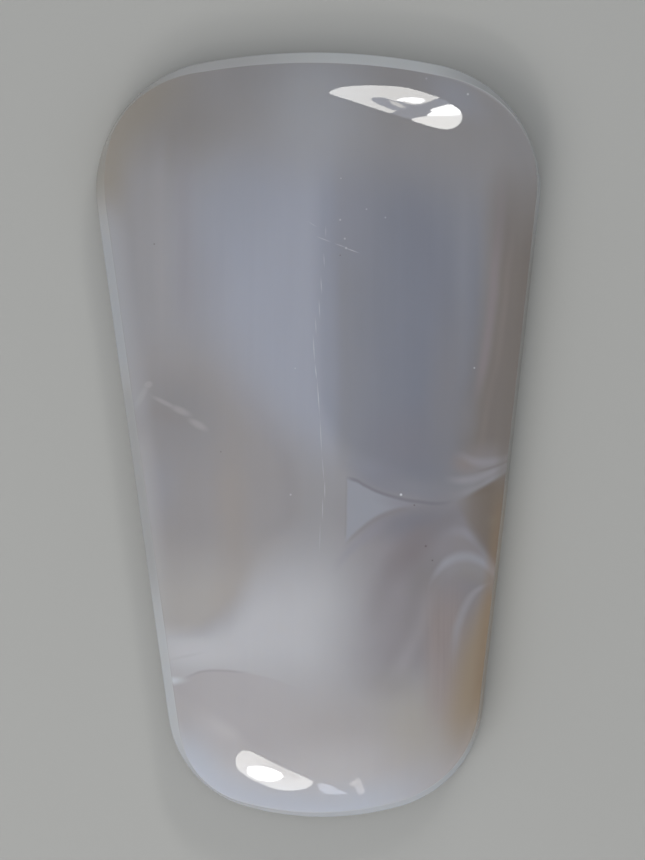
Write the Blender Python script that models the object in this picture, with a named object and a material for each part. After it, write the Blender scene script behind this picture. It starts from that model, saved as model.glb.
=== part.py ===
"""A polished freeform agate cabochon: one stone with a flat back, a hand-ground girdle and a low dome.

Metres, +Z up. The origin is the middle of the flat back, on the surface that the stone lies on.
+Y runs along the stone to its wide end, +X across it. Points seen from above are complex numbers,
x + yi.
"""

import math
from cmath import phase, rect

import bmesh
import bpy

MM = 0.001

# Outline, seen from above: four corner circles joined by a bowed end at the top and the bottom
# and by two straight sides. Each corner is (centre, radius), clockwise from the top left.
CORNERS = (
    ((-4.85 + 12.80j) * MM, 6.80 * MM),
    ((5.05 + 12.90j) * MM, 6.60 * MM),
    ((2.75 - 13.80j) * MM, 5.90 * MM),
    ((-2.30 - 14.10j) * MM, 5.60 * MM),
)
STRAIGHT = 5.0
SIDE_BOWS = (32.0 * MM, STRAIGHT, 15.0 * MM, STRAIGHT)
TOUCHING = 1e-9

# The wall, from the flat back up. Its top edge leans in by a least width, and by more where the
# wall faces certain ways. Each swell is (facing in degrees, 0 for +X and 90 for +Y, extra width,
# spread in degrees).
WALL_RINGS = 2
BACK_BEVEL_WIDTH = 0.28 * MM
BACK_BEVEL_HEIGHT = 0.30 * MM
GIRDLE_TOP = 2.30 * MM
GIRDLE_LEAST = 0.26 * MM
GIRDLE_SWELLS = ((86, 0.54 * MM, 38), (186, 0.33 * MM, 26), (290, 0.25 * MM, 48))

# The dome. Its contours turn from the girdle's outline to an ellipse in the middle. It is a plain
# arch across the stone. Along it, a fullness of 0 gives a plain arch too, and one of 1 a flat crown
# with tight shoulders. The swell makes the wide end fuller and the narrow end slimmer.
CROWN_TOP = 6.00 * MM
FULLNESS = 0.6
SWELL = 0.25
HALF_WIDTH = 11.60 * MM
HALF_LENGTH = 20.00 * MM

# The dome's faces: a grid with bulging sides in the middle, and rings of faces from there out.
FACES_ACROSS = 30
FACES_ALONG = 52
GRID_REACH = 0.62
GRID_BULGE = 0.3
DISC_BULGE = 0.5
DOME_RINGS = 7
CRISP = math.radians(16)

AGATE_GREY = (0.270, 0.272, 0.300, 1.0)
AGATE_POLISH = 0.08


def clear_scene():
    for obj in list(bpy.data.objects):
        bpy.data.objects.remove(obj)


def bow_centre(first, second, bow):
    """The centre of the arc of radius bow that touches both corner circles and holds them inside."""
    to_first, to_second = bow - first[1], bow - second[1]
    gap = second[0] - first[0]
    reach = (to_first**2 - to_second**2 + abs(gap) ** 2) / (2 * abs(gap))
    depth = math.sqrt(to_first**2 - reach**2)
    return first[0] + gap / abs(gap) * complex(reach, -depth)


def outline_arcs():
    """The outline's arcs (centre, radius, start, turn), clockwise, with the angles in radians."""
    following = CORNERS[1:] + CORNERS[:1]
    bows = [bow_centre(*pair) for pair in zip(CORNERS, following, SIDE_BOWS)]
    arcs = []
    for k, (corner, radius) in enumerate(CORNERS):
        start = phase(corner - bows[k - 1])
        middle = phase(corner - bows[k])
        end = phase(following[k][0] - bows[k])
        arcs.append((corner, radius, start, (start - middle) % math.tau))
        arcs.append((bows[k], SIDE_BOWS[k], middle, (middle - end) % math.tau))
    return arcs


def outline_point(arcs, direction):
    """The outline's point in this direction from the middle, and the way that it faces there."""
    for centre, radius, start, turn in arcs:
        ahead = centre / direction
        if abs(ahead.imag) < radius:
            point = direction * (ahead.real + math.sqrt(radius**2 - ahead.imag**2))
            normal = (point - centre) / radius
            if (start - phase(normal)) % math.tau < turn + TOUCHING:
                return point, normal


def girdle_lean(normal):
    """How far the girdle's top edge lies inside the outline, where the wall faces this way."""
    lean = GIRDLE_LEAST
    for facing, extra, spread in GIRDLE_SWELLS:
        away = math.degrees(phase(normal / rect(1, math.radians(facing))))
        lean += extra * math.exp(-((away / spread) ** 2))
    return lean


def wall_places(arcs, direction):
    """The wall's corners in this direction from the middle, each (place, height), from the top."""
    point, normal = outline_point(arcs, direction)
    return (
        (point - normal * girdle_lean(normal), GIRDLE_TOP),
        (point, BACK_BEVEL_HEIGHT),
        (point - normal * BACK_BEVEL_WIDTH, 0.0),
    )


def bulging(u, v, bulge):
    """A place on the square from -1 to 1 once its sides bulge. DISC_BULGE turns it into a disc."""
    return complex(u * math.sqrt(1 - bulge * v**2), v * math.sqrt(1 - bulge * u**2))


def stone_point(arcs, u, v, ring):
    """Where a place on the open box goes. The lid is the middle of the dome, and u and v run from -1
    to 1 on it. The rings of the walls are the rest of the dome, then the wall's lower corners."""
    grid = GRID_REACH * bulging(u, v, GRID_BULGE)
    disc = grid + (bulging(u, v, DISC_BULGE) - grid) * min(ring / DOME_RINGS, 1)
    share = abs(disc)
    if share < TOUCHING:
        return 0.0, 0.0, CROWN_TOP
    oval = complex(disc.real * HALF_WIDTH, disc.imag * HALF_LENGTH)
    place, height = wall_places(arcs, oval / abs(oval))[max(ring - DOME_RINGS, 0)]
    if ring <= DOME_RINGS:
        place = oval + share**2 * (3 - 2 * share) * (share * place - oval)
        rise = (1 - share**2) * (1 + (FULLNESS + SWELL * disc.imag) * disc.imag**2)
        height = GIRDLE_TOP + (CROWN_TOP - GIRDLE_TOP) * rise
    return place.real, place.imag, height


def stone_mesh():
    """The closed stone, shaped from a box whose lid is a fine grid."""
    bm = bmesh.new()
    bmesh.ops.create_grid(bm, x_segments=FACES_ACROSS, y_segments=FACES_ALONG, size=1)
    for _ in range(DOME_RINGS + WALL_RINGS):
        edges = [edge for edge in bm.edges if edge.is_boundary]
        made = bmesh.ops.extrude_edge_only(bm, edges=edges)["geom"]
        verts = [part for part in made if isinstance(part, bmesh.types.BMVert)]
        bmesh.ops.translate(bm, verts=verts, vec=(0, 0, -1))
    bmesh.ops.contextual_create(bm, geom=[edge for edge in bm.edges if edge.is_boundary])
    bmesh.ops.recalc_face_normals(bm, faces=bm.faces)
    arcs = outline_arcs()
    for vert in bm.verts:
        u, v, depth = vert.co
        vert.co = stone_point(arcs, u, v, round(-depth))
    return bm


def agate_material():
    material = bpy.data.materials.new("agate")
    material.use_nodes = True
    shader = material.node_tree.nodes["Principled BSDF"]
    shader.inputs["Base Color"].default_value = AGATE_GREY
    shader.inputs["Roughness"].default_value = AGATE_POLISH
    shader.inputs["Metallic"].default_value = 0.0
    return material


def agate_stone(collection):
    mesh = bpy.data.meshes.new("agate_stone")
    bm = stone_mesh()
    bm.to_mesh(mesh)
    bm.free()
    mesh.shade_smooth()
    mesh.set_sharp_from_angle(angle=CRISP)
    stone = bpy.data.objects.new("agate_stone", mesh)
    stone.data.materials.append(agate_material())
    collection.objects.link(stone)
    return stone


def main():
    clear_scene()
    collection = bpy.data.collections.new("agate_cabochon")
    bpy.context.scene.collection.children.link(collection)
    agate_stone(collection)


main()
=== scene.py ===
"""The looks of the polished agate cabochon: its ground and polished shape, its bands and its studio.

Metres, +Z up, in the frame of the solid model: the origin is the middle of the flat back, and +Y
runs along the stone to its wide end. Points of the outline and of the windows, seen from above, are
complex numbers, x + yi. The pattern in the stone is drawn in millimetres, seen from above.
"""

import math
from cmath import phase, rect

import bmesh
import bpy
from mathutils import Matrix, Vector
from mathutils.interpolate import poly_3d_calc


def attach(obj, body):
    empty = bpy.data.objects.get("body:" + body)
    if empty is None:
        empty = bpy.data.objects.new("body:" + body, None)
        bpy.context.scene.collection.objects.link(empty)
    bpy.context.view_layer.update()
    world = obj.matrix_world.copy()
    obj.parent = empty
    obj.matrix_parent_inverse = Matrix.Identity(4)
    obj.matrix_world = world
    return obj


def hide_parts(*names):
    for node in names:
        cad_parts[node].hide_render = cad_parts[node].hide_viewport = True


MM = 0.001
TOUCHING = 1e-9

# Outline, seen from above, as in the solid model: four corner circles (centre, radius), clockwise
# from the top left, joined by a bowed end at the top and the bottom and by two straight sides.
CORNERS = (
    ((-4.85 + 12.80j) * MM, 6.80 * MM),
    ((5.05 + 12.90j) * MM, 6.60 * MM),
    ((2.75 - 13.80j) * MM, 5.90 * MM),
    ((-2.30 - 14.10j) * MM, 5.60 * MM),
)
STRAIGHT = 5.0
SIDE_BOWS = (32.0 * MM, STRAIGHT, 15.0 * MM, STRAIGHT)

# The wall, from the flat back up. Its top edge leans in by a least width, and by more where the
# wall faces certain ways. Each swell is (facing in degrees, 0 for +X and 90 for +Y, extra width,
# spread in degrees).
BACK_BEVEL_WIDTH = 0.28 * MM
BACK_BEVEL_HEIGHT = 0.30 * MM
GIRDLE_TOP = 2.30 * MM
GIRDLE_LEAST = 0.26 * MM
GIRDLE_SWELLS = ((86, 0.54 * MM, 38), (186, 0.33 * MM, 26), (290, 0.25 * MM, 48))

# The dome. Its contours turn from the girdle's outline to an ellipse in the middle. It is a plain
# arch across the stone. Along it, a fullness of 0 gives a plain arch too, and one of 1 a flat crown
# with tight shoulders. The swell makes the wide end fuller and the narrow end slimmer.
CROWN_TOP = 6.00 * MM
FULLNESS = 0.6
SWELL = 0.25
HALF_WIDTH = 11.60 * MM
HALF_LENGTH = 20.00 * MM

# The stone's faces: a grid with bulging sides in the middle of the dome, rings of faces from there
# out and down the wall, and edges that the polishing has eased.
FACES_ACROSS = 84
FACES_ALONG = 144
GRID_REACH = 0.62
GRID_BULGE = 0.3
DISC_BULGE = 0.5
DOME_RINGS = 34
GIRDLE_RINGS = 8
BACK_RINGS = 1
POLISHING_STROKES = 30
STROKE_STRENGTH = 0.5
CRISP = math.radians(16)
EASED_WIDTH = 0.05 * MM
EASED_STEPS = 3

# The camera looks straight down, and sees this length from the top to the bottom of the picture.
SEEN_LENGTH = 45.08 * MM
SEEN_MIDDLE = (0.225 + 0.236j) * MM
CAMERA_HEIGHT = 180 * MM
NEAREST_SEEN = 10 * MM
SENSOR = 36.0

FLOOR_SIZE = 2.0
FLOOR_GREY = (0.36, 0.36, 0.35, 1.0)
FLOOR_ROUGHNESS = 0.9

# The light from all round: its colour, its strength and how dim it is on the far side. A broad lamp
# stands on the bright side, and the polish doesn't mirror it.
BRIGHT_SIDE = (-0.40, -0.58, 0.71)
DIM_SIDE = 0.45
SKY_STRENGTH = 0.715
SKY_COLOUR = (0.94, 0.97, 1.0, 1.0)
LAMP_DISTANCE = 0.24
LAMP_SIZE = 0.14
LAMP_BRIGHTNESS = 3.75
LAMP_COLOUR = (1.0, 0.97, 0.93)

# The windows that the polish reflects. Each pane is where its corners show on the stone, in
# millimetres seen from above, its brightness and its colour. The corners are rounded by cutting
# them off a few times, at these shares of the sides. Each pane of a window is a little nearer than
# the one before it.
WINDOW_DISTANCE = 0.4
PANE_GAP = 0.01
ROUNDINGS = 3
CUTS = (0.25, 0.75)
BLACK = (0.0, 0.0, 0.0, 1.0)
WHITE = (1.0, 1.0, 1.0, 1.0)
WARM_WHITE = (1.0, 0.99, 0.95, 1.0)
COLD_WHITE = (0.78, 0.85, 1.0, 1.0)
ROSY_WHITE = (1.0, 0.96, 0.93, 1.0)
WINDOWS = {
    "far_window": (
        (
            (
                3.36 + 17.78j, 6.34 + 17.66j, 7.11 + 17.34j, 5.68 + 16.68j, 4.91 + 16.46j,
                3.69 + 16.87j, 2.92 + 17.45j,
            ),
            2.3,
            COLD_WHITE,
        ),
        (
            (
                0.58 + 17.98j, 0.99 + 18.16j, 1.65 + 18.28j, 3.14 + 18.31j, 4.52 + 18.22j,
                5.40 + 17.98j, 6.37 + 17.66j, 6.37 + 17.66j, 5.27 + 17.26j, 5.27 + 17.26j,
                4.63 + 17.40j, 4.41 + 17.18j, 4.00 + 16.93j, 3.83 + 16.81j, 3.14 + 17.03j,
                2.15 + 17.35j, 0.94 + 17.74j, 0.55 + 17.88j,
            ),
            9.5,
            WARM_WHITE,
        ),
        (
            (
                2.70 + 17.66j, 3.36 + 17.70j, 3.97 + 17.47j, 4.69 + 17.42j, 4.69 + 17.01j,
                3.94 + 16.98j, 3.42 + 17.20j, 2.92 + 17.42j,
            ),
            2.9,
            COLD_WHITE,
        ),
        (
            (
                3.64 + 17.59j, 4.19 + 17.39j, 4.60 + 17.17j, 4.60 + 17.17j, 4.41 + 17.10j,
                3.91 + 17.26j,
            ),
            7.0,
            WARM_WHITE,
        ),
        (
            (
                4.08 + 17.53j, 4.36 + 17.65j, 5.07 + 17.69j, 5.73 + 17.55j, 5.24 + 17.30j,
                4.69 + 17.44j, 4.25 + 17.47j,
            ),
            21.0,
            WHITE,
        ),
        (
            (
                4.77 + 16.49j, 5.13 + 16.62j, 5.90 + 16.71j, 5.96 + 16.90j, 5.82 + 17.04j,
                6.34 + 17.19j, 6.95 + 17.37j, 7.50 + 16.98j, 7.58 + 16.46j, 7.17 + 16.05j,
                6.67 + 15.97j, 6.01 + 16.10j,
            ),
            12.5,
            WARM_WHITE,
        ),
        (
            (
                5.65 + 16.75j, 5.98 + 16.90j, 5.84 + 17.02j, 6.34 + 17.17j, 6.95 + 17.35j,
                7.47 + 16.98j, 7.47 + 16.76j, 7.00 + 16.71j, 6.34 + 16.72j, 5.79 + 16.71j,
            ),
            21.0,
            WHITE,
        ),
    ),
    "near_window": (
        (
            (
                -4.34 - 16.81j, -3.85 - 16.52j, -3.34 - 16.68j, -2.14 - 17.33j, -0.94 - 17.86j,
                -0.12 - 18.22j, -0.69 - 18.63j, -2.02 - 18.70j, -3.34 - 18.17j, -4.32 - 17.56j,
            ),
            8.2,
            WARM_WHITE,
        ),
        (
            (
                -3.34 - 16.93j, -2.50 - 17.15j, -1.54 - 17.63j, -0.81 - 17.99j, -1.30 - 18.16j,
                -1.78 - 18.28j, -1.78 - 17.86j, -2.26 - 17.50j, -3.16 - 17.29j,
            ),
            6.2,
            WARM_WHITE,
        ),
        (
            (
                -3.78 - 17.40j, -3.16 - 17.36j, -2.35 - 17.51j, -1.75 - 17.86j, -1.99 - 18.12j,
                -2.62 - 18.23j, -3.31 - 18.06j, -3.70 - 17.80j,
            ),
            21.0,
            WHITE,
        ),
        (
            (
                -0.06 - 18.31j, -0.06 - 18.31j, 0.51 - 18.29j, 0.93 - 18.55j, 1.59 - 18.85j,
                1.59 - 18.85j, 0.15 - 18.87j,
            ),
            4.6,
            COLD_WHITE,
        ),
        (
            (
                2.15 - 17.98j, 2.15 - 17.98j, 2.34 - 18.34j, 2.48 - 18.85j, 2.01 - 18.87j,
                2.00 - 18.46j, 1.47 - 18.35j,
            ),
            3.4,
            ROSY_WHITE,
        ),
    ),
}

# How strongly the stone bends light, how much of the light scatters under its surface, and how far
# the red, the green and the blue in it go there, as shares of a length.
REFRACTION = 1.54
SCATTERING = 0.35
SCATTER_SHARES = (1.0, 0.8, 0.6)
SCATTER_LENGTH = 1.5 * MM

# The pattern and the polish of the stone, whose places, sizes and widths are in millimetres.

# The polish: its roughness, how much that changes from cloud to cloud, the size of a cloud along X,
# Y and Z, and how much a scratch adds.
POLISH = 0.015
POLISH_CHANGE = 0.01
POLISH_CLOUD = (3.0, 3.0, 3.0)
SCRATCH_ROUGHNESS = 0.3

# The pattern leans in as it rises, by this share of the distance from the middle for each millimetre.
LEAN = 1 / 180

# The pattern's lines waver by up to half of this, over so many waves a millimetre.
WANDER = 0.4
WANDER_SCALE = 0.22

# A cloud or an oval this tall is the same from the back of the stone to its crown.
TALL = 1000.0

# The noise runs from about 0 to 1 round this middle, with this much detail in its clouds.
NOISE_MIDDLE = 0.5
NOISE_DETAIL = 2.0

# Fibres, clouds and reddish streaks: their size along X, Y and Z, and by how much they make the
# stone darker or lighter. The fibres are stronger in the wide half.
FIBRE_SIZE = (0.5, 14.0, TALL)
FIBRE_DETAIL = 3.0
FIBRE_STRENGTH = 0.025
WIDE_HALF_FIBRES = 0.045
CLOUD_SIZE = (2.5, 4.0, TALL)
CLOUD_STRENGTH = 0.05
RED_STREAK_SIZE = (0.2, 7.0, TALL)
RED_STREAK_STRENGTH = 0.2

# Screen colours in the stone, for what isn't an oval, a streak or a stroke.
GREY = (140, 139, 143)
TAN = (139, 136, 138)
WARM_GREY = (155, 152, 151)
LOBE_SHADE = (135, 132, 136)
LOBE_COLUMN = (131, 128, 131)
# The blue mist and the slate are partly painted reflection, lighter and darker either side of a
# straight edge.
BLUE_MIST_AND_PAINTED_REFLECTION = (147, 150, 162)
SLATE_AND_PAINTED_REFLECTION = (118, 121, 133)
SLATE_VIOLET = (120, 119, 128)
UMBER = (122, 115, 111)
ROSE = (136, 128, 131)
ROSE_BROWN = (133, 124, 122)
SMOKE = (136, 134, 136)
CORNER_TAN = (135, 128, 117)
FLOW_GREY = (134, 130, 135)
PEARL = (159, 156, 158)
PEARL_LIGHT = (171, 169, 172)
MILK = (170, 170, 175)
CREASE_SHADE = (157, 154, 157)
CREASE_GREY = (148, 145, 148)
ROSE_GREY = (145, 133, 130)
AMBER = (147, 132, 114)
WEDGE_BROWN = (124, 116, 113)
WEDGE_CHESTNUT = (117, 107, 98)
PALE_BLUE = (141, 143, 152)
TRIANGLE_SHADE = (125, 126, 136)
TRIANGLE_SLATE = (130, 129, 138)
TRIANGLE_EDGE = (122, 117, 121)
TRIANGLE_SIDE = (131, 128, 132)
FOOT_GREY = (133, 132, 143)
DUSK = (116, 114, 124)
WISP_GREY = (152, 151, 157)
FOLD_BROWN = (122, 115, 117)
OUTER_ARC_FILL = (139, 134, 137)
OUTER_ARC_LIGHT = (146, 145, 152)
RING_FILL = (138, 133, 132)
RING_GREY = (144, 142, 146)
RING_LIGHT = (154, 155, 163)
INNER_LIGHT = (150, 148, 152)
BENT_WISP_GREY = (152, 150, 151)
SCRATCH_PALE = (190, 193, 200)
SPECK_PALE = (215, 217, 222)
SPECK_DARK = (84, 74, 76)

# Screen colours of the girdle: a painted glow of the light that shines through its thin edge,
# above the edge and on the band of the wall below it, with the band's top painted lighter still
# against the lamp's shade, and the stone's own browns and ambers.
RIM_AMBER = (136, 115, 92)
RIM_BROWN = (116, 109, 104)
GLOW_BLUE = (168, 174, 187)
GLOW_UPPER_LEFT = (158, 160, 166)
GLOW_LOWER_LEFT = (164, 164, 167)
BAND_PAINTED_GLOW = (176, 176, 178)
BAND_TOP_PAINTED_LIGHT = (192, 195, 199)
BAND_RIGHT = (165, 168, 172)
BAND_TAN = (146, 140, 130)
BAND_LEFT = (163, 164, 167)
BAND_UPPER_LEFT = (172, 176, 184)
BAND_LOWER = (190, 193, 199)
BAND_FOOT = (190, 195, 205)
BAND_BROWN = (126, 120, 114)
BAND_AMBER = (152, 132, 108)

# Lines that run along the stone, each point (x, y), listed from the bottom up.
LOBE_EDGE = (
    (-7.6, -10.6), (-5.0, -9.9), (-3.4, -8.6), (-1.9, -6.8), (-0.8, -4.6), (-0.6, -2.6),
    (-1.6, 0.3), (-3.2, 2.6), (-4.6, 5.0),
)
MIST_LEFT = (
    (0.4, -2.5), (-1.1, 0.0), (-3.2, 2.6), (-4.7, 5.0), (-5.9, 8.0), (-6.0, 12.0), (-4.6, 14.5),
    (-1.6, 17.5),
)
SLATE_STREAK = ((6.9, 1.0), (6.9, 3.9), (6.5, 7.1), (5.6, 10.0), (4.6, 13.0))
PALE_STREAK = ((7.2, 0.0), (7.5, 4.0), (7.6, 8.0), (7.7, 14.0))
FLANK = ((7.4, -2.5), (8.2, 1.0), (9.0, 6.0), (9.5, 11.0), (9.8, 15.0))
LEFT_COLUMN = ((-8.1, 3.0), (-8.3, 8.0), (-8.3, 16.0))
SECOND_COLUMN = ((-6.6, 3.0), (-7.0, 8.0), (-7.0, 16.0))
MILK_RIGHT = ((1.8, -15.0), (1.6, -12.0), (1.7, -9.0), (1.4, -6.0), (1.0, -4.0))
DARK_FLOW = ((2.6, -11.5), (2.9, -9.4), (3.9, -7.1), (5.0, -5.7), (6.6, -4.5))
PALE_FLOW = ((2.4, -14.4), (3.9, -12.8), (4.75, -11.3), (5.45, -9.6), (5.9, -8.0))
SECOND_FLOW = ((3.2, -13.0), (4.0, -11.6), (4.75, -10.2), (5.3, -8.7), (5.7, -7.4))
AMBER_EDGE = (
    (6.2, -16.5), (6.5, -14.4), (6.75, -13.0), (7.1, -11.5), (7.55, -10.3), (8.0, -9.2),
    (8.7, -8.0),
)
INNER_STREAK = ((7.0, -13.0), (7.2, -11.0), (7.4, -9.9), (7.86, -8.75), (8.5, -8.1), (9.3, -7.75))

# Lines that run across the stone, each point (x, y), listed from the left.
# The slate's foot bounds a dark panel that is partly painted reflection.
SLATE_FOOT = (
    (0.0, 1.6), (1.2, -0.4), (2.6, -1.7), (4.5, -2.4), (6.5, -2.7), (8.0, -1.8), (9.9, -0.6),
)
PEARL_TOP = ((-8.5, -12.2), (-4.0, -12.6), (0.0, -13.4), (3.0, -14.2), (6.0, -15.4), (8.0, -16.4))
MILK_TOP = (
    (-9.0, -10.3), (-6.5, -10.5), (-5.0, -10.1), (-3.8, -8.9), (-2.4, -7.8), (0.2, -7.2),
    (2.4, -6.9),
)
CREASE = (
    (-8.4, -12.95), (-7.4, -12.85), (-6.7, -12.62), (-6.0, -12.42), (-5.4, -12.38), (-4.1, -12.5),
    (-2.5, -12.8), (-0.9, -13.3), (0.7, -13.6),
)
TAN_FOOT = ((-8.0, -13.5), (-6.5, -14.3), (-5.5, -14.8), (-4.5, -15.5), (-3.0, -16.8), (0.0, -17.5))
TRIANGLE_TOP = (
    (1.4, -2.22), (1.8, -2.28), (2.4, -2.59), (3.1, -2.97), (4.0, -3.27), (5.2, -3.47),
    (6.5, -3.56), (7.5, -3.3), (8.6, -2.8), (9.9, -2.0),
)
TRIANGLE_FOOT = (
    (1.4, -5.75), (2.2, -4.95), (2.9, -4.4), (3.8, -3.95), (4.8, -3.68), (5.8, -3.6), (6.8, -3.6),
)
WEDGE_FOOT = (
    (6.9, -3.65), (7.3, -4.1), (7.75, -4.75), (8.2, -5.3), (8.6, -5.8), (9.0, -6.4), (9.5, -7.2),
)
FOLD = ((8.0, -2.0), (8.6, -1.88), (9.3, -1.72), (10.0, -1.45))
OUTER_ARC = (
    (6.2, -5.3), (6.7, -5.1), (7.3, -4.95), (8.0, -5.2), (8.56, -5.86), (9.1, -6.7), (9.5, -7.4),
)
RING = (
    (5.5, -8.6), (5.8, -7.75), (6.2, -7.1), (6.87, -6.55), (7.7, -6.32), (8.4, -6.5), (9.1, -7.05),
    (9.5, -7.5),
)

# How deep the slate's colour is across the stone, partly painted dark reflection: (x, share).
SLATE_DEPTH = (
    (-0.6, 0.0), (-0.1, 0.16), (0.35, 0.4), (0.8, 0.5), (2.5, 0.76), (4.0, 0.94), (5.3, 1.0),
    (7.5, 0.85), (8.8, 0.85),
)

# The pale wisps above the wedge: (line, reach, amount). Each shows from its first point on.
WISPS = (
    (((6.8, -0.95), (7.5, -1.12), (8.5, -1.45), (9.2, -1.45), (10.0, -1.3)), 0.4, 0.5),
    (((6.4, -2.25), (6.8, -2.33), (7.7, -2.4), (8.8, -2.12), (10.0, -1.55)), 0.36, 0.65),
    (((6.8, -3.2), (8.0, -2.95), (9.1, -2.4), (10.0, -1.85)), 0.24, 0.5),
)

# The bent wisp by the left edge, below and to the right of its knee: (start, end, width).
BENT_WISP = (
    ((-9.6, 1.4), (-8.95, 2.6), 0.26),
    ((-8.8, 2.05), (-7.3, 1.3), 0.18),
    ((-7.75, 1.5), (-6.7, 1.02), 0.27),
    ((-6.75, 0.78), (-5.85, 0.27), 0.28),
)

# The fine scratches: (start, end, depth).
SCRATCH_WIDTH = 0.045
SCRATCHES = (
    ((0.40, 11.0), (0.40, 10.3), 0.5),
    ((0.29, 9.6), (0.34, 8.7), 0.6),
    ((0.14, 8.35), (0.20, 7.3), 0.8),
    ((0.04, 7.2), (0.10, 6.0), 0.8),
    ((-0.15, 6.25), (-0.09, 5.15), 0.7),
    ((-0.27, 5.4), (-0.17, 3.6), 0.9),
    ((-0.17, 3.8), (-0.06, 2.8), 1.0),
    ((-0.07, 3.1), (0.10, 0.8), 1.0),
    ((0.09, 1.1), (0.20, -1.2), 0.8),
    ((0.19, -0.9), (0.33, -2.7), 0.5),
    ((0.35, -2.3), (0.35, -3.5), 0.8),
    ((0.24, -3.2), (0.23, -4.6), 0.7),
    ((0.12, -4.4), (0.07, -6.4), 0.4),
    ((-0.55, 11.2), (-0.02, 10.86), 0.5),
    ((-0.14, 10.42), (0.75, 10.07), 0.8),
    ((0.80, 10.05), (1.55, 9.79), 0.7),
    ((1.31, 9.84), (2.23, 9.50), 1.0),
)
SCRATCH_AMOUNT = 0.5

# The specks: (place, reach, amount).
PALE_SPECKS = (
    ((4.35, -3.15), 0.10, 1.0), ((8.2, 3.5), 0.07, 0.6), ((5.68, 18.69), 0.09, 0.2),
    ((7.86, 17.87), 0.09, 0.6), ((1.16, 11.27), 0.08, 0.4), ((1.40, 10.28), 0.08, 0.4),
    ((1.47, 9.79), 0.09, 0.4), ((2.54, 11.83), 0.07, 0.3), ((3.53, 11.39), 0.07, 0.3),
    ((1.2, 13.45), 0.05, 0.5), ((-1.2, 3.48), 0.06, 0.3), ((-1.44, -3.15), 0.08, 0.4),
)
DARK_SPECKS = (
    ((5.65, -5.85), 0.09, 0.8), ((6.0, -6.6), 0.07, 0.8), ((5.05, -3.7), 0.07, 0.8),
    ((-8.6, 10.0), 0.06, 0.8), ((1.16, 9.41), 0.05, 0.8), ((-5.1, -0.9), 0.05, 0.8),
)


def bow_centre(first, second, bow):
    """The centre of the arc of radius bow that touches both corner circles and holds them inside."""
    to_first, to_second = bow - first[1], bow - second[1]
    gap = second[0] - first[0]
    reach = (to_first**2 - to_second**2 + abs(gap) ** 2) / (2 * abs(gap))
    depth = math.sqrt(to_first**2 - reach**2)
    return first[0] + gap / abs(gap) * complex(reach, -depth)


def outline_arcs():
    """The outline's arcs (centre, radius, start, turn), clockwise, with the angles in radians."""
    following = CORNERS[1:] + CORNERS[:1]
    bows = [bow_centre(*pair) for pair in zip(CORNERS, following, SIDE_BOWS)]
    arcs = []
    for k, (corner, radius) in enumerate(CORNERS):
        start = phase(corner - bows[k - 1])
        middle = phase(corner - bows[k])
        end = phase(following[k][0] - bows[k])
        arcs.append((corner, radius, start, (start - middle) % math.tau))
        arcs.append((bows[k], SIDE_BOWS[k], middle, (middle - end) % math.tau))
    return arcs


def outline_point(arcs, direction):
    """The outline's point in this direction from the middle, and the way that it faces there."""
    for centre, radius, start, turn in arcs:
        ahead = centre / direction
        if abs(ahead.imag) < radius:
            point = direction * (ahead.real + math.sqrt(radius**2 - ahead.imag**2))
            normal = (point - centre) / radius
            if (start - phase(normal)) % math.tau < turn + TOUCHING:
                return point, normal


def girdle_lean(normal):
    """How far the girdle's top edge lies inside the outline, where the wall faces this way."""
    lean = GIRDLE_LEAST
    for facing, extra, spread in GIRDLE_SWELLS:
        away = math.degrees(phase(normal / rect(1, math.radians(facing))))
        lean += extra * math.exp(-((away / spread) ** 2))
    return lean


def bulging(u, v, bulge):
    """A place on the square from -1 to 1 once its sides bulge. DISC_BULGE turns it into a disc."""
    return complex(u * math.sqrt(1 - bulge * v**2), v * math.sqrt(1 - bulge * u**2))


def stone_point(arcs, u, v, ring):
    """Where a place on the open box goes. The lid is the middle of the dome, and u and v run from -1
    to 1 on it. The rings of the walls are the rest of the dome, then the girdle and the back's edge."""
    grid = GRID_REACH * bulging(u, v, GRID_BULGE)
    disc = grid + (bulging(u, v, DISC_BULGE) - grid) * min(ring / DOME_RINGS, 1)
    share = abs(disc)
    if share < TOUCHING:
        return 0.0, 0.0, CROWN_TOP
    oval = complex(disc.real * HALF_WIDTH, disc.imag * HALF_LENGTH)
    edge, normal = outline_point(arcs, oval / abs(oval))
    girdle = edge - normal * girdle_lean(normal)
    if ring <= DOME_RINGS:
        place = oval + share**2 * (3 - 2 * share) * (share * girdle - oval)
        rise = (1 - share**2) * (1 + (FULLNESS + SWELL * disc.imag) * disc.imag**2)
        height = GIRDLE_TOP + (CROWN_TOP - GIRDLE_TOP) * rise
    elif ring <= DOME_RINGS + GIRDLE_RINGS:
        down = (ring - DOME_RINGS) / GIRDLE_RINGS
        place = girdle + (edge - girdle) * down
        height = GIRDLE_TOP + (BACK_BEVEL_HEIGHT - GIRDLE_TOP) * down
    else:
        place = edge - normal * BACK_BEVEL_WIDTH
        height = 0.0
    return place.real, place.imag, height


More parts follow.
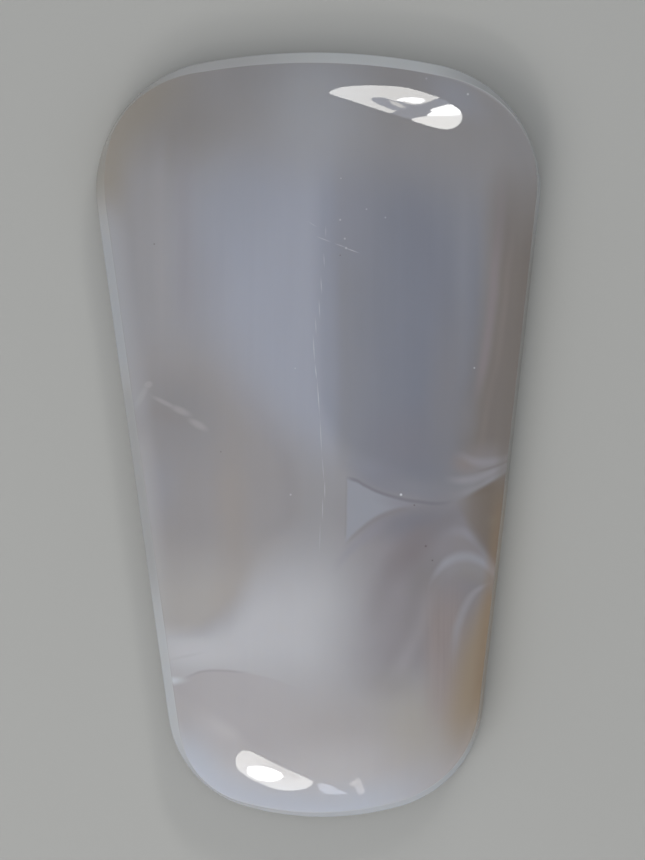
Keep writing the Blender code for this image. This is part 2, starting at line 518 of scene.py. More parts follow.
def stone_mesh():
    """The closed stone, shaped from a box whose lid is a fine grid, with its crisp edges eased."""
    bm = bmesh.new()
    bmesh.ops.create_grid(bm, x_segments=FACES_ACROSS, y_segments=FACES_ALONG, size=1)
    for _ in range(DOME_RINGS + GIRDLE_RINGS + BACK_RINGS):
        edges = [edge for edge in bm.edges if edge.is_boundary]
        made = bmesh.ops.extrude_edge_only(bm, edges=edges)["geom"]
        verts = [part for part in made if isinstance(part, bmesh.types.BMVert)]
        bmesh.ops.translate(bm, verts=verts, vec=(0, 0, -1))
    bmesh.ops.contextual_create(bm, geom=[edge for edge in bm.edges if edge.is_boundary])
    bmesh.ops.recalc_face_normals(bm, faces=bm.faces)
    arcs = outline_arcs()
    for vert in bm.verts:
        u, v, depth = vert.co
        vert.co = stone_point(arcs, u, v, round(-depth))
    dome = [vert for vert in bm.verts if vert.co.z > GIRDLE_TOP + TOUCHING]
    for _ in range(POLISHING_STROKES):
        bmesh.ops.smooth_vert(
            bm,
            verts=dome,
            factor=STROKE_STRENGTH,
            use_axis_x=True,
            use_axis_y=True,
            use_axis_z=True,
        )
    bm.normal_update()
    crisp = [edge for edge in bm.edges if edge.calc_face_angle() > CRISP]
    bmesh.ops.bevel(
        bm,
        geom=crisp,
        affect="EDGES",
        offset=EASED_WIDTH,
        segments=EASED_STEPS,
        profile=0.5,
        material=-1,
    )
    return bm


class Wire:
    """A socket whose value changes over the stone. Arithmetic on it adds Math nodes."""

    def __init__(self, socket):
        self.socket = socket

    def node(self, kind, settings, inputs, output=0):
        """The output of a new node. Its settings are set first, then its sockets' values or links.
        The points of a curve, each (place, height), count as a setting."""
        tree = self.socket.id_data
        node = tree.nodes.new(kind)
        for name, value in settings.items():
            if name == "curve":
                first, *between, last = value
                points = node.mapping.curves[0].points
                points[0].location = first
                points[1].location = last
                for place in between:
                    points.new(*place)
                node.mapping.update()
            else:
                setattr(node, name, value)
        for key, value in inputs.items():
            if isinstance(value, Wire):
                tree.links.new(value.socket, node.inputs[key])
            else:
                node.inputs[key].default_value = value
        return Wire(node.outputs[output])

    def math(self, operation, *values):
        """What a Math node makes of these values."""
        return self.node("ShaderNodeMath", {"operation": operation}, dict(enumerate(values)))

    def along(self, way):
        """How far a place lies this way."""
        settings = {"operation": "DOT_PRODUCT"}
        return self.node("ShaderNodeVectorMath", settings, {0: self, 1: way}, "Value")

    def __add__(self, other):
        return self.math("ADD", self, other)

    def __radd__(self, other):
        return self.math("ADD", other, self)

    def __sub__(self, other):
        return self.math("SUBTRACT", self, other)

    def __rsub__(self, other):
        return self.math("SUBTRACT", other, self)

    def __mul__(self, other):
        return self.math("MULTIPLY", self, other)

    def __rmul__(self, other):
        return self.math("MULTIPLY", other, self)

    def __truediv__(self, other):
        return self.math("DIVIDE", self, other)

    def __rtruediv__(self, other):
        return self.math("DIVIDE", other, self)


def screen_colour(red, green, blue):
    """The linear colour of a screen colour whose channels run from 0 to 255."""
    channels = [channel / 255 for channel in (red, green, blue)]
    return (*[((c + 0.055) / 1.055) ** 2.4 if c > 0.04045 else c / 12.92 for c in channels], 1.0)


class Pattern:
    """The colour of the stone, built up in layers. Places in it are in millimetres: x and y, which
    waver a little, and z, the height."""

    def __init__(self, material, colour):
        self.metres = Wire(material.node_tree.nodes.new("ShaderNodeTexCoord").outputs["Object"])
        inputs = {"Vector": self.metres, "Scale": WANDER_SCALE / MM}
        wander = self.metres.node("ShaderNodeTexNoise", {}, inputs, "Color")
        self.z = self.metres.along((0, 0, 1 / MM))
        inputs = {"Vector": self.metres, "Scale": (self.z * LEAN + 1) * (1 / MM)}
        self.place = self.metres.node("ShaderNodeMapping", {}, inputs)
        sideways = wander.node("ShaderNodeSeparateColor", {}, {"Color": wander}, "Red")
        endways = wander.node("ShaderNodeSeparateColor", {}, {"Color": wander}, "Green")
        self.x = self.place.along((1, 0, 0)) + (sideways - NOISE_MIDDLE) * WANDER
        self.y = self.place.along((0, 1, 0)) + (endways - NOISE_MIDDLE) * WANDER
        self.colour = screen_colour(*colour)

    def tint(self, mask, colour):
        """Turns the stone to this screen colour where the mask is 1."""
        inputs = {0: mask, 6: self.colour, 7: screen_colour(*colour)}
        self.colour = self.x.node("ShaderNodeMix", {"data_type": "RGBA"}, inputs, 2)

    def shade(self, share):
        """Makes the stone lighter or darker by this share: less black, or more of it."""
        settings = {"data_type": "RGBA", "clamp_factor": False}
        inputs = {0: 0 - share, 6: self.colour, 7: BLACK}
        self.colour = share.node("ShaderNodeMix", settings, inputs, 2)

    def rising(self, value, start, end):
        """0 before start and 1 after end, smooth between them. It falls if end comes before start."""
        settings = {"interpolation_type": "SMOOTHSTEP"}
        inputs = {"Value": value, "From Min": start, "From Max": end}
        return value.node("ShaderNodeMapRange", settings, inputs)

    def within(self, value, low, high, fade):
        """1 between low and high, and fading outside of them."""
        return self.rising(value, low - fade, low) * self.rising(value, high + fade, high)

    def ribbon(self, distance, reach):
        """1 along a line, fading to 0 at this reach on both sides of it."""
        return self.rising(distance.math("ABSOLUTE", distance), reach, 0)

    def smooth_line(self, value, points):
        """A smooth curve through these points, each (place, height), in the order of their places."""
        places, heights = zip(*points)
        first, last, lowest, highest = places[0], places[-1], min(heights), max(heights)
        span = highest - lowest
        curve = [((p - first) / (last - first), (h - lowest) / span) for p, h in points]
        share = (value - first) / (last - first)
        return value.node("ShaderNodeFloatCurve", {"curve": curve}, {"Value": share}) * span + lowest

    def beside(self, line):
        """How far to the right of a line that runs along the stone, listed from the bottom up."""
        return self.x - self.smooth_line(self.y, [(y, x) for x, y in line])

    def above(self, line):
        """How far above a line that runs across the stone, listed from the left."""
        return self.y - self.smooth_line(self.x, line)

    def blot(self, middle, reach, turn=0.0, firm=0.0):
        """A soft oval: 1 as far out as the firm share of its reach, and 0 at its reach."""
        inputs = {"Vector": self.place, "Location": (*middle, 0), "Scale": (*reach, TALL)}
        inputs["Rotation"] = (0, 0, math.radians(turn))
        oval = self.place.node("ShaderNodeMapping", {"vector_type": "TEXTURE"}, inputs)
        settings = {"gradient_type": "SPHERICAL"}
        inward = oval.node("ShaderNodeTexGradient", settings, {"Vector": oval}, "Fac")
        return self.rising(inward, 0, 1 - firm)

    def stroke(self, start, end, width, firm=0.0):
        """A long thin blot from one place to another."""
        middle = [(a + b) / 2 for a, b in zip(start, end)]
        turn = math.degrees(math.atan2(end[1] - start[1], end[0] - start[0]))
        return self.blot(middle, (math.dist(start, end) / 2 + width, width), turn, firm)

    def noise(self, size, detail=NOISE_DETAIL):
        """Cloudy noise from about -0.5 to 0.5, whose clouds are this large along X, Y and Z."""
        inputs = {"Vector": self.metres, "Scale": [1 / s / MM for s in size]}
        stretched = self.metres.node("ShaderNodeMapping", {}, inputs)
        inputs = {"Vector": stretched, "Scale": 1.0, "Detail": detail}
        return self.metres.node("ShaderNodeTexNoise", {}, inputs) - NOISE_MIDDLE

    def ovals(self, *rows):
        """Soft ovals over one another: (middle, reach, turn in degrees, amount, colour)."""
        for middle, reach, turn, amount, colour in rows:
            self.tint(self.blot(middle, reach, turn) * amount, colour)

    def strokes(self, *rows):
        """Long thin blots over one another: (start, end, width, amount, colour)."""
        for start, end, width, amount, colour in rows:
            self.tint(self.stroke(start, end, width) * amount, colour)

    def streaks(self, *rows):
        """Soft streaks along lines, over one another, that fade outside of their low and high ends:
        (line, reach, low, high, fade, amount, colour)."""
        for line, reach, low, high, fade, amount, colour in rows:
            streak = self.ribbon(self.beside(line), reach) * self.within(self.y, low, high, fade)
            self.tint(streak * amount, colour)

    def specks(self, rows, colour):
        """Small round specks of one colour: (place, reach, amount)."""
        for place, reach, amount in rows:
            self.tint(self.blot(place, (reach, reach)) * amount, colour)


def smoky_lobe(stone):
    """The tan lobe on the left, browner towards its foot."""
    x, y = stone.x, stone.y
    edge = stone.beside(LOBE_EDGE)
    stone.tint(stone.rising(edge, 1.2, -2.4) * stone.within(y, -6.0, 2.6, 3.5), TAN)
    stone.tint(stone.rising(edge, 0.6, -2.0) * stone.rising(y, -4.5, -9.0), WARM_GREY)
    stone.ovals(
        ((-4.5, -3.8), (1.5, 6.5), 3, 0.55, (143, 136, 132)),
        ((-8.3, -2.6), (1.6, 3.0), 0, 0.6, (139, 139, 146)),
        ((-4.9, -8.4), (1.3, 2.2), -16, 0.4, (151, 145, 142)),
    )
    stone.tint(stone.ribbon(edge + 1.0, 0.9) * stone.within(y, -4.0, 1.5, 2.0) * 0.4, LOBE_SHADE)
    stone.tint(stone.ribbon(x + 1.5, 0.8) * stone.within(y, -4.0, -2.0, 2.0) * 0.2, LOBE_COLUMN)
    stone.ovals(
        ((-7.3, 1.5), (3.4, 2.8), -12, 0.75, (128, 126, 129)),
        ((-6.8, -0.4), (3.8, 3.2), 0, 0.3, (126, 125, 130)),
    )


def mist_slate_and_painted_reflection(stone):
    """The blue mist down the wide half, and the slate beyond the straight edge beside it. Both are
    partly painted reflection: lighter to the left of that edge and darker to its right.
    """
    x, y = stone.x, stone.y
    # Partly painted reflection: the mist stops at a straight edge near x = 1, lighter to its left.
    mist = stone.rising(stone.beside(MIST_LEFT), -3.0, 2.4) * stone.rising(y, -3.4, 1.0)
    stone.tint(mist * stone.rising(y, 18.5, 12.0) * stone.rising(x, 1.5, 0.5), BLUE_MIST_AND_PAINTED_REFLECTION)
    stone.ovals(((-4.4, 12.4), (4.2, 5.6), 0, 0.75, (140, 143, 154)))
    # Partly painted reflection: the slate is darker to the right of that straight edge.
    slate = stone.smooth_line(x, SLATE_DEPTH) * stone.rising(x, 9.6, 8.0)
    slate = slate * stone.rising(stone.above(SLATE_FOOT), -1.6, 1.1) * stone.rising(y, 18.5, 10.8)
    stone.tint(slate, SLATE_AND_PAINTED_REFLECTION)
    violet = stone.blot((4.6, -0.6), (3.4, 3.2)) * 0.7
    stone.tint(violet * stone.rising(stone.above(SLATE_FOOT), -1.1, 1.1), SLATE_VIOLET)
    stone.ovals(((3.2, -2.3), (2.2, 1.3), -20, 0.8, (121, 121, 132)))
    stone.streaks(
        (SLATE_STREAK, 1.2, 3.0, 12.0, 3.0, 0.3, (115, 117, 129)),
        (PALE_STREAK, 0.8, 4.0, 12.0, 3.0, 0.5, (131, 133, 142)),
    )
    stone.ovals(
        ((6.9, 1.6), (1.9, 7.6), -3, 0.8, (126, 125, 131)),
        ((1.7, 11.8), (2.0, 4.4), 0, 0.35, (136, 138, 151)),
        ((-6.4, 7.8), (2.4, 4.6), 0, 0.35, (132, 132, 140)),
    )


def warm_flank(stone):
    """The warm brown flank beyond the slate, with a rosy streak along it."""
    y = stone.y
    beside = stone.beside(FLANK)
    length = stone.rising(y, -3.0, -0.8) * stone.rising(y, 17.0, 12.5)
    stone.tint(stone.rising(beside, -1.3, 0.7) * length, UMBER)
    stone.tint(stone.ribbon(beside, 0.45) * stone.within(y, 4.0, 12.0, 3.0) * 0.8, ROSE)
    stone.tint(stone.ribbon(beside - 0.7, 0.3) * stone.within(y, 1.0, 9.0, 3.0) * 0.5, ROSE_BROWN)
    stone.ovals(
        ((9.3, 2.0), (0.9, 4.6), -6, 0.5, (118, 111, 108)),
        ((7.8, 0.8), (0.9, 1.8), 0, 0.5, (130, 128, 132)),
    )


def wide_end(stone):
    """The smoky shade round the wide end, browner at the left, with a lighter gap in its middle that is
    partly painted reflection.
    """
    x, y, z = stone.x, stone.y, stone.z
    shade = stone.rising(z, 5.6, 3.4) * stone.rising(y, 8.5, 16.5)
    # Partly painted reflection: the smoke is thinned in a strip down the middle.
    shade = shade * (1 - stone.ribbon(x - 0.5, 3.2) * 0.65)
    stone.tint(shade, SMOKE)
    # The second and fourth ovals, lighter in the top middle, carry that painted reflection up to the
    # rim.
    stone.ovals(
        ((-7.4, 16.2), (3.6, 3.0), 25, 0.65, (125, 121, 119)),
        ((0.0, 17.2), (4.6, 5.6), 0, 0.95, (150, 151, 157)),
        ((7.2, 17.8), (2.8, 1.4), -35, 0.7, (142, 144, 153)),
        ((-0.2, 18.1), (1.7, 1.1), 0, 0.6, (150, 150, 154)),
        ((9.6, 11.6), (1.4, 3.6), 0, 0.4, (113, 107, 106)),
    )
    corner = stone.rising(x, -5.0, -9.5) * stone.rising(z, 3.6, 2.5) * stone.rising(y, 10.0, 13.5)
    stone.tint(corner * 0.7, CORNER_TAN)
    stone.streaks(
        (LEFT_COLUMN, 0.7, 8.0, 13.0, 4.0, 0.3, (147, 145, 149)),
        (SECOND_COLUMN, 0.8, 8.0, 13.0, 4.0, 0.35, (134, 131, 138)),
    )


def lower_right(stone):
    """The darker grey flow down the right, from the triangle to the narrow end."""
    across = stone.rising(stone.beside(MILK_RIGHT), -1.4, 3.0)
    stone.tint(across * stone.within(stone.y, -11.0, -5.0, 3.0), FLOW_GREY)
    stone.ovals(
        ((5.0, -4.6), (3.6, 1.5), 10, 0.95, (118, 117, 126)),
        ((4.9, -6.1), (1.4, 2.6), -38, 0.85, (120, 113, 117)),
        ((5.6, -10.2), (1.5, 3.0), -8, 0.6, (127, 122, 125)),
        ((5.6, -7.6), (1.5, 1.9), -20, 0.6, (120, 116, 117)),
        ((4.9, -9.6), (1.6, 2.4), -15, 0.35, (126, 122, 124)),
        ((3.4, -13.2), (1.8, 1.2), 0, 0.4, (138, 134, 135)),
    )
    stone.streaks(
        (DARK_FLOW, 1.1, -8.5, -5.2, 2.4, 0.45, (124, 119, 123)),
        (PALE_FLOW, 0.8, -12.0, -9.0, 2.4, 0.4, (148, 145, 149)),
        (SECOND_FLOW, 0.8, -11.0, -8.5, 2.4, 0.3, (129, 124, 128)),
    )


def narrow_end(stone):
    """The pearly narrow end, bluish round its left corner."""
    stone.tint(stone.rising(stone.above(PEARL_TOP), 3.0, -2.4), PEARL)
    stone.ovals(((1.4, -15.2), (3.6, 1.9), 8, 0.35, (148, 144, 144)))
    foot = stone.rising(stone.y, -15.4, -18.2) * stone.rising(stone.x, 6.0, 1.0)
    stone.tint(foot * 0.8, PEARL_LIGHT)
    stone.ovals(
        ((5.2, -15.2), (3.2, 3.8), 20, 0.6, (153, 148, 140)),
        ((-4.8, -15.2), (2.6, 1.6), -12, 0.6, (170, 167, 171)),
        ((-4.4, -15.1), (1.7, 1.2), 0, 0.4, (178, 175, 177)),
        ((3.7, -13.0), (2.2, 1.5), 0, 0.4, (132, 129, 131)),
        ((-6.9, -17.2), (2.8, 3.0), 30, 0.9, (163, 165, 173)),
        ((-8.3, -15.6), (1.3, 3.2), 12, 0.8, (188, 190, 196)),
    )


def milk_band(stone):
    """The milky band that crosses below the lobe, and the crease along its foot."""
    x, y = stone.x, stone.y
    top = stone.above(MILK_TOP) / (stone.rising(x, -6.5, -1.0) * 1.9 + 0.6)
    milk = stone.rising(top, 1.4, -0.9) * stone.rising(y, -15.2, -10.8)
    stone.tint(milk * stone.rising(stone.beside(MILK_RIGHT), 2.2, -2.8), MILK)
    stone.ovals(((-6.9, -11.5), (3.4, 1.1), 0, 0.7, (178, 178, 183)))
    crease = stone.above(CREASE)
    below = stone.rising(crease, 0.03, -0.12) * stone.rising(x, 0.5, -4.5)
    stone.tint(below * stone.rising(stone.above(TAN_FOOT), -0.6, 0.5) * 0.9, CREASE_SHADE)
    line = stone.ribbon(crease, 0.13) * stone.within(x, -6.2, -4.6, 1.4)
    stone.tint(line * 0.9, CREASE_GREY)
    stone.strokes(
        ((-9.6, -13.0), (-6.9, -12.9), 0.34, 0.8, (202, 209, 220)),
        ((-8.4, -11.95), (-5.6, -11.35), 0.14, 0.35, (160, 159, 164)),
    )


def amber_side(stone):
    """The amber side of the narrow half, and the fine reddish streaks beside it."""
    x, y = stone.x, stone.y
    red = stone.within(x, 6.4, 7.0, 1.3) * stone.within(y, -13.5, -10.0, 3.2)
    stone.tint(red * 0.65, ROSE_GREY)
    stone.shade(stone.noise(RED_STREAK_SIZE) * red * RED_STREAK_STRENGTH)
    amber = stone.rising(stone.beside(AMBER_EDGE), -0.45, 1.2) * stone.rising(y, -7.4, -8.6)
    stone.tint(amber * stone.rising(y, -18.5, -13.5), AMBER)


def brown_wedge(stone):
    """The chestnut wedge at the right edge."""
    top, foot = stone.above(TRIANGLE_TOP), stone.above(WEDGE_FOOT)
    wedge = stone.rising(top, 0.08, -0.25) * stone.rising(foot, -0.2, 0.7)
    stone.tint(wedge * stone.rising(stone.x, 7.0, 8.3), WEDGE_BROWN)
    stone.tint(wedge * stone.rising(stone.x, 7.7, 9.2), WEDGE_CHESTNUT)
    stone.strokes(((8.2, -3.0), (9.6, -2.5), 0.5, 0.5, (112, 101, 92)))
    stone.ovals(((9.25, -4.55), (0.7, 0.6), 0, 0.45, (126, 117, 108)))


def triangle(stone):
    """The pale triangle, with a dark curve over it and a soft tan foot."""
    x, y = stone.x, stone.y
    top, foot = stone.above(TRIANGLE_TOP), stone.above(TRIANGLE_FOOT)
    stone.ovals(((2.3, -1.7), (1.9, 1.0), -22, 0.5, (129, 131, 142)))
    shade = stone.ribbon(top - 0.5, 0.6) * stone.within(x, 3.8, 5.6, 1.6)
    stone.tint(shade * 0.6, TRIANGLE_SHADE)
    inside = stone.rising(top, 0.05, -0.1) * stone.rising(foot, -0.2, 0.18)
    inside = inside * stone.rising(x, 1.36, 1.62)
    stone.tint(inside * stone.rising(x, 6.0, 3.0), PALE_BLUE)
    stone.tint(inside * stone.blot((4.2, -3.55), (1.6, 0.5), -8) * 0.5, TRIANGLE_SLATE)
    edge = stone.ribbon(foot + 0.14, 0.26) * stone.within(x, 2.0, 4.2, 0.8)
    stone.tint(edge * 0.4, TRIANGLE_EDGE)
    under = stone.ribbon(foot + 0.7, 0.6) * stone.within(x, 1.8, 2.8, 1.2)
    stone.tint(under * 0.4, FOOT_GREY)
    side = stone.ribbon(x - 1.44, 0.09) * stone.within(y, -5.2, -2.5, 0.4)
    stone.tint(side * 0.5, TRIANGLE_SIDE)
    curve = stone.ribbon(top, 0.17) * stone.rising(x, 1.3, 1.9) * stone.rising(x, 7.4, 5.9)
    stone.tint(curve * 0.85, DUSK)


def swirls(stone):
    """The pale wisps above the wedge and the rings that curl below it."""
    x, y = stone.x, stone.y
    stone.ovals(
        ((8.6, -1.5), (2.4, 1.5), 8, 0.6, (143, 138, 143)),
        ((7.7, -1.55), (1.0, 0.7), -10, 0.5, (139, 128, 126)),
    )
    for line, reach, amount in WISPS:
        wisp = stone.ribbon(stone.above(line), reach) * stone.rising(x, line[0][0], line[1][0] + 1.0)
        stone.tint(wisp * amount, WISP_GREY)
    fold = stone.ribbon(stone.above(FOLD), 0.14)
    stone.tint(fold * stone.rising(x, 8.0, 9.0) * 0.5, FOLD_BROWN)
    outer = stone.above(OUTER_ARC)
    fill = stone.rising(outer, 0.0, -0.5) * stone.rising(outer, -1.6, -0.9)
    stone.tint(fill * stone.rising(x, 6.6, 7.6) * 0.6, OUTER_ARC_FILL)
    stone.tint(stone.ribbon(outer + 0.15, 0.5) * stone.rising(x, 6.3, 8.2) * 0.8, OUTER_ARC_LIGHT)
    stone.strokes(((7.9, -4.7), (9.5, -6.9), 0.5, 0.6, (116, 106, 100)))
    ring = stone.above(RING)
    fill = stone.rising(ring, 0.0, -0.5) * stone.rising(ring, -1.8, -0.9)
    stone.tint(fill * stone.rising(x, 6.6, 8.0) * 0.7, RING_FILL)
    stone.tint(stone.ribbon(ring + 0.45, 0.9) * stone.rising(x, 5.8, 7.2) * 0.5, RING_GREY)
    stone.tint(stone.ribbon(ring + 0.12, 0.42) * stone.rising(x, 5.6, 6.8) * 0.75, RING_LIGHT)
    inner = stone.ribbon(stone.beside(INNER_STREAK), 0.4)
    inner = inner * stone.rising(y, -13.0, -9.5) * stone.rising(y, -7.6, -8.2)
    stone.tint(inner * 0.8, INNER_LIGHT)


def left_wisp(stone):
    """The bent pale wisp by the left edge, with a brown shade under it."""
    stone.strokes(((-9.1, 1.5), (-6.6, 0.55), 0.75, 0.5, (131, 126, 127)))
    wisp = stone.blot((-8.92, 2.62), (0.3, 0.22), 20, 0.5)
    for start, end, width in BENT_WISP:
        wisp = wisp.math("MAXIMUM", wisp, stone.stroke(start, end, width, 0.2))
    stone.tint(wisp * 0.65, BENT_WISP_GREY)


def fibres(stone):
    """Faint fibres along the stone, and a faint cloudiness all over it."""
    columns = stone.noise(FIBRE_SIZE, FIBRE_DETAIL)
    wide_half = stone.rising(stone.y, -2.0, 6.0) * stone.rising(stone.y, 15.0, 9.0)
    stone.shade(columns * wide_half * WIDE_HALF_FIBRES + columns * FIBRE_STRENGTH)
    stone.shade(stone.noise(CLOUD_SIZE) * CLOUD_STRENGTH)


def girdle(stone):
    """The edge that the light shines through, with that light painted in as a paler glow, and its top
    painted paler still against the lamp's shade. It is clear but for brown stretches on the right
    and one at the upper left."""
    x, y, z = stone.x, stone.y, stone.z
    left, right = stone.rising(x, -7.0, -9.0), stone.rising(x, 5.5, 8.0)
    rim = stone.rising(z, 2.9, 2.4) * right
    stone.tint(rim * stone.within(y, -13.0, -4.2, 2.4) * 0.5, RIM_AMBER)
    stone.tint(rim * stone.within(y, -1.0, 8.0, 5.0) * 0.5, RIM_BROWN)
    # Painted glow: near the rim the stone is paler, where light shines through the thin edge.
    glow = stone.rising(z, 3.3, 2.3)
    foot = glow * stone.rising(y, -15.0, -18.0) * stone.rising(x, 7.5, 2.0)
    stone.tint(foot * 0.75, GLOW_BLUE)
    stone.tint(glow * left * stone.within(y, 2.0, 10.5, 3.0) * 0.5, GLOW_UPPER_LEFT)
    stone.tint(glow * left * stone.within(y, -12.0, -1.0, 2.0) * 0.5, GLOW_LOWER_LEFT)
    upper_right = stone.blot((8.2, 16.6), (5.0, 4.0), -40)
    # Painted glow: the band of the wall is paler, where light shines through it.
    band = stone.rising(z - upper_right * 0.1, GIRDLE_TOP / MM, GIRDLE_TOP / MM - 0.2)
    stone.tint(band, BAND_PAINTED_GLOW)
    # Painted light: the top of the band is lighter still, to make up for the lamp's shade there.
    stone.tint(band * stone.rising(x, -5.0, 1.0), BAND_TOP_PAINTED_LIGHT)
    stone.tint(band * stone.rising(x, 5.0, 9.0), BAND_RIGHT)
    stone.tint(band * left * stone.within(y, 13.8, 16.6, 3.0) * 0.9, BAND_TAN)
    stone.tint(band * left * stone.within(y, -7.5, 1.5, 2.0) * 0.8, BAND_LEFT)
    stone.tint(band * left * stone.within(y, 4.5, 9.5, 2.5) * 0.8, BAND_UPPER_LEFT)
    stone.tint(band * stone.rising(y, -6.0, -11.5), BAND_LOWER)
    stone.tint(band * stone.rising(y, -15.0, -18.0), BAND_FOOT)
    stone.tint(band * right * stone.within(y, -2.0, 8.0, 5.0), BAND_BROWN)
    stone.tint(band * right * stone.within(y, -14.0, -4.6, 3.4), BAND_AMBER)


def scratches(stone):
    """The fine scratches and specks in the polish. It gives the scratches' mask, for the gloss."""
    start, end, depth = SCRATCHES[0]
    marks = stone.stroke(start, end, SCRATCH_WIDTH) * depth
    for start, end, depth in SCRATCHES[1:]:
        marks = marks.math("MAXIMUM", marks, stone.stroke(start, end, SCRATCH_WIDTH) * depth)
    stone.tint(marks * SCRATCH_AMOUNT, SCRATCH_PALE)
    stone.specks(PALE_SPECKS, SPECK_PALE)
    stone.specks(DARK_SPECKS, SPECK_DARK)
    return marks


def polished_agate_material():
    """The stone's bands, laid over one another, under a fine polish."""
    material = bpy.data.materials.new("polished_agate")
    material.use_nodes = True
    shader = material.node_tree.nodes["Principled BSDF"]
    shader.inputs["IOR"].default_value = REFRACTION
    shader.inputs["Subsurface Weight"].default_value = SCATTERING
    shader.inputs["Subsurface Radius"].default_value = SCATTER_SHARES
    shader.inputs["Subsurface Scale"].default_value = SCATTER_LENGTH
    stone = Pattern(material, GREY)
    for layer in (
        smoky_lobe,
        mist_slate_and_painted_reflection,
        warm_flank,
        wide_end,
        lower_right,
        narrow_end,
        milk_band,
        amber_side,
        brown_wedge,
        triangle,
        swirls,
        left_wisp,
        fibres,
        girdle,
    ):
        layer(stone)
    scratched = scratches(stone) * SCRATCH_ROUGHNESS
    roughness = scratched + stone.noise(POLISH_CLOUD) * POLISH_CHANGE + POLISH
    material.node_tree.links.new(stone.colour.socket, shader.inputs["Base Color"])
    material.node_tree.links.new(roughness.socket, shader.inputs["Roughness"])
    return material


def polished_agate():
    """The stone, with its material."""
    mesh = bpy.data.meshes.new("polished_agate")
    bm = stone_mesh()
    bm.to_mesh(mesh)
    bm.free()
    mesh.shade_smooth()
    mesh.materials.append(polished_agate_material())
    stone = bpy.data.objects.new("polished_agate", mesh)
    bpy.context.scene.collection.objects.link(stone)
    return stone


def pale_floor():
    """A plain pale surface under the stone."""
    mesh = bpy.data.meshes.new("floor")
    bm = bmesh.new()
    bmesh.ops.create_grid(bm, x_segments=1, y_segments=1, size=FLOOR_SIZE)
    bm.to_mesh(mesh)
    bm.free()
    material = bpy.data.materials.new("pale_floor")
    material.use_nodes = True
    shader = material.node_tree.nodes["Principled BSDF"]
    shader.inputs["Base Color"].default_value = FLOOR_GREY
    shader.inputs["Roughness"].default_value = FLOOR_ROUGHNESS
    mesh.materials.append(material)
    floor = bpy.data.objects.new("floor", mesh)
    bpy.context.scene.collection.objects.link(floor)


def camera_above():
    """The camera straight over the stone, with the picture's long side along it."""
    camera = bpy.data.cameras.new("camera")
    camera.sensor_width = SENSOR
    camera.lens = SENSOR * (CAMERA_HEIGHT - BACK_BEVEL_HEIGHT) / SEEN_LENGTH
    camera.clip_start = NEAREST_SEEN
    holder = bpy.data.objects.new("camera", camera)
    holder.location = (SEEN_MIDDLE.real, SEEN_MIDDLE.imag, CAMERA_HEIGHT)
    bpy.context.scene.collection.objects.link(holder)
    bpy.context.scene.camera = holder
    return holder


def rounded(corners):
    """The outline once its corners are cut off a few times."""
    for _ in range(ROUNDINGS):
        following = corners[1:] + corners[:1]
        corners = [a + (b - a) * share for a, b in zip(corners, following) for share in CUTS]
    return corners


def mirrored(stone, camera, place, distance):
    """The place, this far away, that the camera sees mirrored here on the stone."""
    towards = Vector((place.real * MM, place.imag * MM, BACK_BEVEL_HEIGHT)) - camera.location
    _, point, _, face = stone.ray_cast(camera.location, towards.normalized())
    corners = [stone.data.vertices[k] for k in stone.data.polygons[face].vertices]
    shares = poly_3d_calc([corner.co for corner in corners], point)
    normal = sum((corner.normal * share for corner, share in zip(corners, shares)), Vector())
    return point + towards.normalized().reflect(normal.normalized()) * distance


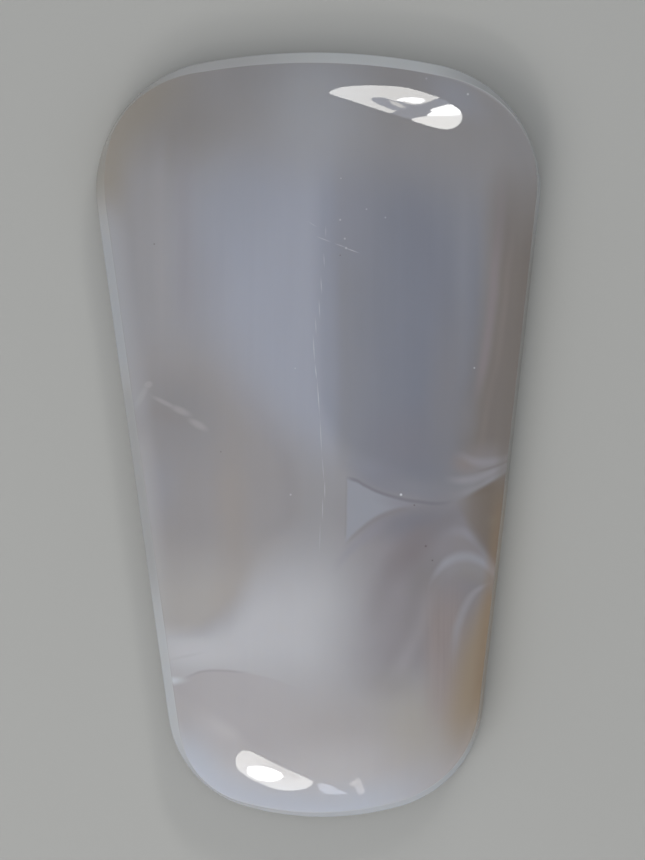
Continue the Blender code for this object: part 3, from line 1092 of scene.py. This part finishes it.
def window(stone, camera, name, panes):
    """A window's lit panes, set where the camera sees them mirrored in the stone."""
    for k, (corners, brightness, colour) in enumerate(panes):
        distance = WINDOW_DISTANCE - PANE_GAP * k
        bm = bmesh.new()
        verts = [bm.verts.new(mirrored(stone, camera, place, distance)) for place in rounded(corners)]
        bmesh.ops.contextual_create(bm, geom=verts)
        mesh = bpy.data.meshes.new(name)
        bm.to_mesh(mesh)
        bm.free()
        material = bpy.data.materials.new(name)
        material.use_nodes = True
        shader = material.node_tree.nodes["Principled BSDF"]
        shader.inputs["Base Color"].default_value = BLACK
        shader.inputs["Emission Color"].default_value = colour
        shader.inputs["Emission Strength"].default_value = brightness
        mesh.materials.append(material)
        pane = bpy.data.objects.new(name, mesh)
        pane.visible_camera = False
        pane.visible_shadow = False
        bpy.context.scene.collection.objects.link(pane)


def broad_lamp():
    """The lamp on the bright side, which the polish doesn't mirror."""
    lamp = bpy.data.lights.new("lamp", "AREA")
    lamp.size = LAMP_SIZE
    lamp.energy = LAMP_BRIGHTNESS * LAMP_SIZE**2 * math.pi
    lamp.color = LAMP_COLOUR
    holder = bpy.data.objects.new("lamp", lamp)
    holder.location = Vector(BRIGHT_SIDE) * LAMP_DISTANCE
    holder.rotation_mode = "QUATERNION"
    holder.rotation_quaternion = Vector(BRIGHT_SIDE).to_track_quat("Z", "Y")
    holder.visible_camera = False
    holder.visible_glossy = False
    bpy.context.scene.collection.objects.link(holder)


def studio(stone, camera):
    """Soft light from all round, brighter on one side, and the lights that the polish reflects."""
    world = bpy.data.worlds.new("studio")
    world.use_nodes = True
    background = world.node_tree.nodes["Background"]
    towards = Wire(world.node_tree.nodes.new("ShaderNodeTexCoord").outputs["Generated"])
    facing = towards.along(BRIGHT_SIDE) * 0.5 + 0.5
    strength = (DIM_SIDE + (1 - DIM_SIDE) * facing) * SKY_STRENGTH
    world.node_tree.links.new(strength.socket, background.inputs["Strength"])
    background.inputs["Color"].default_value = SKY_COLOUR
    bpy.context.scene.world = world
    bpy.context.scene.view_settings.view_transform = "Standard"
    for name, panes in WINDOWS.items():
        window(stone, camera, name, panes)
    broad_lamp()


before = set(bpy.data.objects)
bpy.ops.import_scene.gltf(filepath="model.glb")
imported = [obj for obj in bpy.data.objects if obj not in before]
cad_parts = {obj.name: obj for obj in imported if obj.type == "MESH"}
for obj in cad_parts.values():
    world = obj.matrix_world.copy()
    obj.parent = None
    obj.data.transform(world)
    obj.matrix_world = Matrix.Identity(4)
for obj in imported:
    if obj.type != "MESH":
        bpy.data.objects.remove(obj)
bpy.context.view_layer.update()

stone = polished_agate()
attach(stone, "root")
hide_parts("agate_stone")
pale_floor()
camera = camera_above()
studio(stone, camera)
